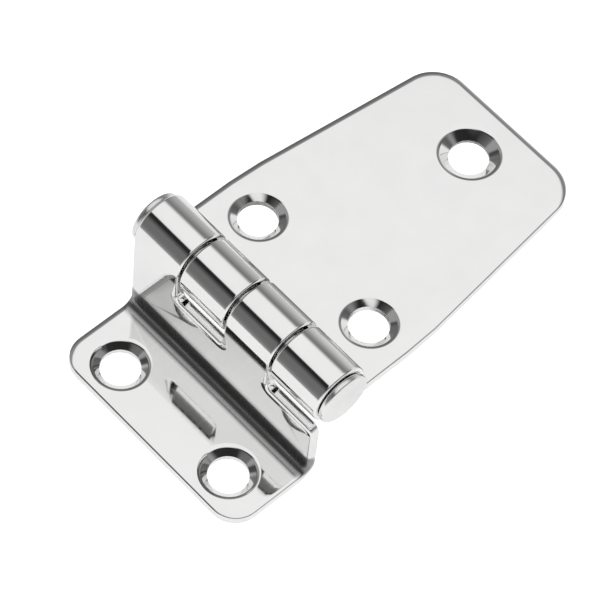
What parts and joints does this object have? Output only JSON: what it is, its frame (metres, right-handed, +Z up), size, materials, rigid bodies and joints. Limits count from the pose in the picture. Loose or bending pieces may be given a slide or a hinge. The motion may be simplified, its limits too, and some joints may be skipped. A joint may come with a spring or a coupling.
{
  "type": "cranked hinge",
  "caption": "Cranked hinge in polished stainless sheet: a short plate steps up through a riser to a rolled barrel, where a longer tapered leaf swings on a headed pin.",
  "frame": {"origin": "midway between the short plate's two screw holes, on the plate's underside", "axes": "+X along the pin, +Y from the short plate towards the long leaf's far end, +Z up, away from the surface that the short plate is screwed to"},
  "size_m": [0.0424, 0.0746, 0.0244],
  "materials": {
    "polished_sheet": "mirror polished stainless steel",
    "polished_pin": "polished stainless steel"
  },
  "bodies": {
    "fixed_side": {"cranked_leaf": "polished_sheet", "hinge_pin": "polished_pin"},
    "swing_side": {"long_leaf": "polished_sheet"}
  },
  "joints": [
    {"name": "leaf_swing", "type": "hinge", "parent": "fixed_side", "child": "swing_side", "pos_m": [0, 0.0137, 0.01935], "axis": [1, 0, 0], "range_deg": [-60, 220]}
  ]
}
